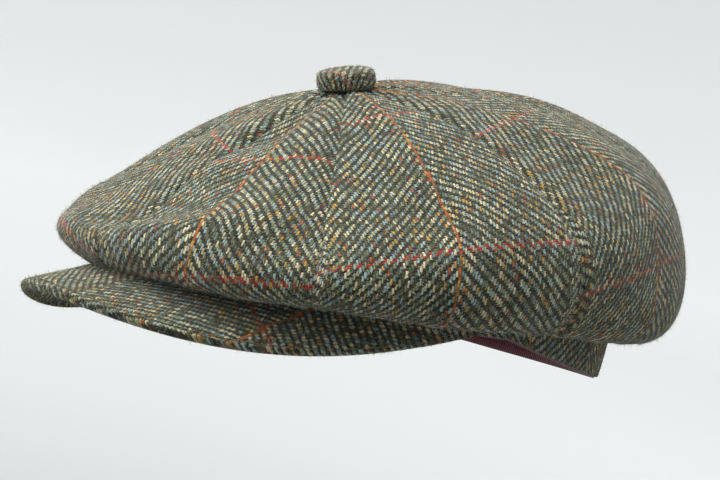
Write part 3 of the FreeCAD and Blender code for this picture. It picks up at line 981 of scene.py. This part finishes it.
# %% Peak board
BOARD_INSET = 0.005
board_turn = np.linspace(-0.90, 0.90, 91)[:, None] * PEAK_WRAP
board_reach = np.maximum(1 - BOARD_INSET / peak_depth(board_turn), 0.02)
board_share = np.linspace(0, 1, 13)[None, :] * board_reach
board_points = peak_surface(board_turn, board_share)
board_points = board_points + peak_normals(board_turn, board_share) * BOARD_THICK / 2
peak_core = make_piece("peak_core_board", board_points, grid_faces(*board_points.shape[:2]))
peak_core.data.flip_normals()
thicken(peak_core, BOARD_THICK)
dress(peak_core, board)
sew(peak_core, "peak_board")
print("board set back", round(BOARD_INSET / MM, 1), "mm from the rim")

# %% [markdown]
# ## The stitches at the peak's edge
# A row of olive stitches runs just inside the rim. It holds the two covers and
# the board together and keeps the edge crisp. The row follows the same arched
# surface, a fixed distance in from the rim, so it stays even round the bend.

# %% Peak stitches
stitch_turn = np.linspace(-0.93, 0.93, 500) * PEAK_WRAP
stitch_share = 1 - STITCH_INSET / np.maximum(peak_depth(stitch_turn), STITCH_INSET * 1.3)
stitch_normal = peak_normals(stitch_turn, stitch_share)
stitch_path = peak_surface(stitch_turn, stitch_share) + stitch_normal * (PEAK_HALF - 0.0002)
edge_stitches = stitch_row(
    "peak_stitches", stitch_path, stitch_normal,
    length=0.0026, gap=0.0007, radius=0.00030, material=thread,
)
sew(edge_stitches, "peak_edge_stitching")

# %% [markdown]
# ## The button
# A metal dome is covered with a circle of the same tweed, gathered underneath.
# The shape is a profile turned about the button's axis: nearly flat on top,
# round at the rim, straight at the side and tucked in below. Its cloth
# coordinate is the distance from the middle of the top, so the weave wraps
# over the rim without stretching.

# %% Button cover
RIM, THICK, LIFT = 0.0127, 0.0088, 0.0005
profile = np.array(
    [
        (0.0, 1.00), (0.30, 0.995), (0.55, 0.985), (0.74, 0.96), (0.87, 0.91), (0.955, 0.82),
        (0.99, 0.70), (1.0, 0.52), (0.995, 0.30), (0.97, 0.14), (0.91, 0.04), (0.80, 0.0), (0.68, 0.0),
    ]
)
fine = np.linspace(0, len(profile) - 1, 61)
radius = np.interp(fine, np.arange(len(profile)), profile[:, 0]) * RIM
level = LIFT + np.interp(fine, np.arange(len(profile)), profile[:, 1]) * THICK
for _ in range(3):
    radius[1:-1] = (radius[:-2] + 2 * radius[1:-1] + radius[2:]) / 4
    level[1:-1] = (level[:-2] + 2 * level[1:-1] + level[2:]) / 4
turns = (np.arange(96) / 96 * 2 * math.pi)[:, None]
side_part = np.clip((fine - 6) / 5, 0, 1)[None, :]
dent = 0.00022 * np.sin(2 * turns + 0.6) * (radius / RIM)[None, :] ** 2
gather = 1 + 0.022 * side_part * np.sin(15 * turns + np.sin(3 * turns))
local = np.stack(
    [
        radius[None, :] * np.sin(turns) * gather,
        -radius[None, :] * np.cos(turns) * gather,
        level[None, :] + dent,
    ],
    -1,
)
lean = np.array(Matrix.Rotation(APEX_LEAN, 3, "X"))
button_points = local @ lean.T + APEX
from_middle = run_length(local, 1)
button_cloth = np.stack(
    [from_middle * np.sin(turns) + 0.006, from_middle * np.cos(turns) + 0.05], -1
)
button_red = button_cloth[..., 1] - 0.05 - 0.0088
button = make_piece(
    "button_tweed", button_points, grid_faces(96, 61, closed=True), button_cloth, button_red
)
button.data.flip_normals()
weld = button.modifiers.new("close_pole", "WELD")
weld.merge_threshold = 0.00001
thicken(button, WRAPPED_TWEED)
dress(button, tweed)
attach(button, "cap")
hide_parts("button_cover")
print("button", round(2 * RIM / MM, 1), "mm wide,", round(THICK / MM, 1), "mm thick")

# %% [markdown]
# ## Loose wool
# Tweed has a halo of loose fibres. From the side it softens the cap's
# outline. Each fibre is a thin curved sliver that leaves the cloth at a random
# point, leans a random way and is at most a few millimetres long. All of them
# are worked out at once as arrays.


# %% Loose fibres
def fibres(name, grids, count, seed, longest):
    """Slivers with a root, a middle and a tip: each step follows a bent direction."""
    rng = np.random.default_rng(seed)
    roots, normals, sides = [], [], []
    share = np.array([np.linalg.norm(g[-1, :] - g[0, :], axis=-1).sum() for g in grids])
    for grid, part in zip(grids, share / share.sum()):
        rows, columns = grid.shape[:2]
        n = surface_normals(grid)
        width = np.linalg.norm(grid[-1] - grid[0], axis=-1) + 1e-4
        pick = rng.choice(columns - 1, int(count * part), p=width[:-1] / width[:-1].sum())
        row = rng.integers(0, rows - 1, len(pick))
        a, b = rng.random((2, len(pick), 1))
        spot = grid[row, pick] * (1 - a) + grid[row + 1, pick] * a
        spot = spot + (grid[row, pick + 1] - grid[row, pick]) * b
        roots.append(spot)
        normals.append(n[row, pick])
        sides.append(rng.normal(size=(len(pick), 3)))
    root, n, side = (np.concatenate(x) for x in (roots, normals, sides))
    side -= n * (side * n).sum(-1, keepdims=True)
    side /= np.linalg.norm(side, axis=-1, keepdims=True)
    length = longest * (0.25 + 0.75 * rng.random((len(root), 1)) ** 2)
    stand = 0.15 + 0.75 * rng.random((len(root), 1))
    curl = np.cross(n, side) * rng.normal(size=(len(root), 1)) * 0.6
    first = side * (1 - stand) + n * stand
    second = first + curl - n * 0.35
    width = np.cross(first, n)
    width /= np.linalg.norm(width, axis=-1, keepdims=True) + 1e-9
    width *= 0.000050 * (0.6 + 0.8 * rng.random((len(root), 1)))
    middle = root + first * length * 0.5
    tip = middle + second * length * 0.5
    points = np.stack([root - width, root + width, middle + width * 0.8, middle - width * 0.8, tip], 1)
    base = (np.arange(len(root)) * 5)[:, None]
    quads = (base + np.array([0, 1, 2, 3])).tolist()
    tips = (base + np.array([3, 2, 4])).tolist()
    piece = make_piece(name, points, quads + tips, smooth=False)
    tint = np.repeat(rng.random(len(root)), 5).astype(np.float32)
    piece.data.attributes.new("tint", "FLOAT", "POINT").data.foreach_set("value", tint)
    print(name, len(root), "fibres")
    return piece


def wool_fibre():
    """One of five flat wool shades for each fibre, picked by its stored tint."""
    r = Recipe("wool_fibre", roughness=0.9)
    tint = r.add("ShaderNodeAttribute", {"attribute_name": "tint"}, {}, "Fac")
    stops = [
        (0.0, colour(70, 72, 62)),
        (0.3, colour(128, 132, 112)),
        (0.6, colour(176, 176, 152)),
        (0.88, colour(150, 160, 156)),
        (0.94, colour(176, 130, 70)),
    ]
    r.set(Base_Color=r.ramp(tint, stops, "CONSTANT"))
    return r.material


fibre_wool = wool_fibre()
crown_wool = fibres("crown_loose_wool", crown_grids, count=52000, seed=11, longest=0.0034)
cover_points = []
for cover in (top_cover, under_cover):
    flat = np.zeros(len(cover.data.vertices) * 3)
    cover.data.vertices.foreach_get("co", flat)
    cover_points.append(flat.reshape(COVER_ROWS, COVER_COLUMNS, 3))
cover_points[1] = cover_points[1][::-1]
peak_wool = fibres("peak_loose_wool", cover_points, count=13000, seed=12, longest=0.0030)
button_top, band_outside = button_points[:, 3:52], band_points[:, 2:22][::-1]
button_wool = fibres("button_loose_wool", [button_top], count=1800, seed=13, longest=0.0022)
band_wool = fibres("band_loose_wool", [band_outside], count=6000, seed=14, longest=0.0026)
for piece in (crown_wool, peak_wool, button_wool, band_wool):
    dress(piece, fibre_wool)
sew(crown_wool)
sew(peak_wool)
sew(band_wool)
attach(button_wool, "cap")

# %% [markdown]
# ## Parts that stay as the CAD made them
# The metal parts under the button keep their exact CAD shapes. They are hidden
# by cloth, but still get their own finish.

# %% Hidden parts
for node in ("button_shell", "button_back_plate", "button_shank", "button_fixing_washer"):
    dress(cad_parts[node], metal)
print("metal parts kept: 4")

# %% [markdown]
# ## Floor and light
# The stage is a wide bowl, flat below the cap and rising softly far away,
# so that no horizon line shows. Its floor is dark grey under the cap, a painted
# shade, and pale farther out. Large soft lights come from above, from behind
# and from the wearer's front right. The sky is brighter overhead than at the
# sides, so the top of the cap is light and its underside falls into shade.


# %% Stage
def stage_bowl(floor_level=-0.35, flat=1.2, rim=5.0, height=3.2):
    """A disc whose height grows with the square of the distance past the flat."""
    r = np.concatenate([np.linspace(0.0, flat, 6), np.linspace(flat, rim, 40)[1:]])[None, :]
    a = np.linspace(0, 2 * math.pi, 97)[:-1, None]
    z = floor_level + height * np.clip((r - flat) / (rim - flat), 0, 1) ** 2 + 0 * a
    points = np.stack(np.broadcast_arrays(r * np.cos(a), r * np.sin(a), z), -1)
    bowl = make_piece("floor", points, grid_faces(96, points.shape[1], closed=True))
    paint = Recipe("floor_with_painted_shade", roughness=0.9)
    place = paint.add("ShaderNodeTexCoord", {}, {}, "Object")
    far = paint.add("ShaderNodeVectorMath", {"operation": "LENGTH"}, {0: place}, 1)
    # Painted shade: the floor is dark grey near the middle, below the cap, and turns pale farther out.
    stops = [(0.1, (0.190, 0.197, 0.197)), (0.6, (0.79, 0.80, 0.80))]
    paint.set(Base_Color=paint.ramp(far / 4, stops))
    bowl.data.materials.append(paint.material)
    return bowl


def soft_light(name, place, aim, size, power):
    """A square lamp that faces a point."""
    lamp = bpy.data.lights.new(name, "AREA")
    lamp.energy, lamp.size = power, size
    light = bpy.data.objects.new(name, lamp)
    light.location = place
    light.rotation_euler = (Vector(aim) - Vector(place)).to_track_quat("-Z", "Y").to_euler()
    bpy.context.scene.collection.objects.link(light)


bowl = stage_bowl()
print("floor points", len(bowl.data.vertices))
soft_light("top_light", (0.03, -0.50, 1.38), (0, 0, 0.05), 1.2, 33)
soft_light("front_light", (-0.7, -1.4, 0.55), (0, 0, 0.0), 1.0, 21)
soft_light("back_light", (-0.6, 1.4, 0.9), (0, 0, 0.06), 1.2, 8)
world = bpy.data.worlds.new("soft_sky")
world.use_nodes = True
sky = world.node_tree.nodes["Background"]
sky.inputs["Color"].default_value = (0.93, 0.95, 0.95, 1)
direction = world.node_tree.nodes.new("ShaderNodeTexCoord")
height = world.node_tree.nodes.new("ShaderNodeSeparateXYZ")
glow = world.node_tree.nodes.new("ShaderNodeMapRange")
glow.inputs["From Min"].default_value = -0.1
glow.inputs["To Min"].default_value = 0.30
glow.inputs["To Max"].default_value = 1.10
world.node_tree.links.new(direction.outputs["Generated"], height.inputs[0])
world.node_tree.links.new(height.outputs["Z"], glow.inputs["Value"])
world.node_tree.links.new(glow.outputs[0], sky.inputs["Strength"])
bpy.context.scene.world = world
bpy.context.scene.view_settings.view_transform = "Standard"

# %% [markdown]
# ## Camera
# The camera looks from the wearer's front left, almost level with the cap. Its
# three axes are worked out from two angles and then turned by the roll. A
# long lens keeps the near side from looking swollen.

# %% Camera
AZIMUTH, ELEVATION, ROLL = math.radians(51.3), math.radians(1.85), math.radians(11.24)
TARGET, DISTANCE = Vector((0.0006, -0.0192, 0.0349)), 0.760
LENS = 86.8
back = Vector(
    (
        math.sin(AZIMUTH) * math.cos(ELEVATION),
        -math.cos(AZIMUTH) * math.cos(ELEVATION),
        math.sin(ELEVATION),
    )
)
right = Vector((math.cos(AZIMUTH), math.sin(AZIMUTH), 0))
upward = back.cross(right)
rolled_right = right * math.cos(ROLL) + upward * math.sin(ROLL)
rolled_up = upward * math.cos(ROLL) - right * math.sin(ROLL)
camera_data = bpy.data.cameras.new("camera")
camera_data.lens = LENS
camera_data.clip_start = 0.01
camera = bpy.data.objects.new("camera", camera_data)
turn = Matrix((rolled_right, rolled_up, back)).transposed().to_4x4()
camera.matrix_world = Matrix.Translation(TARGET + back * DISTANCE) @ turn
bpy.context.scene.collection.objects.link(camera)
bpy.context.scene.camera = camera
print("camera", DISTANCE, "m away, lens", LENS, "mm")
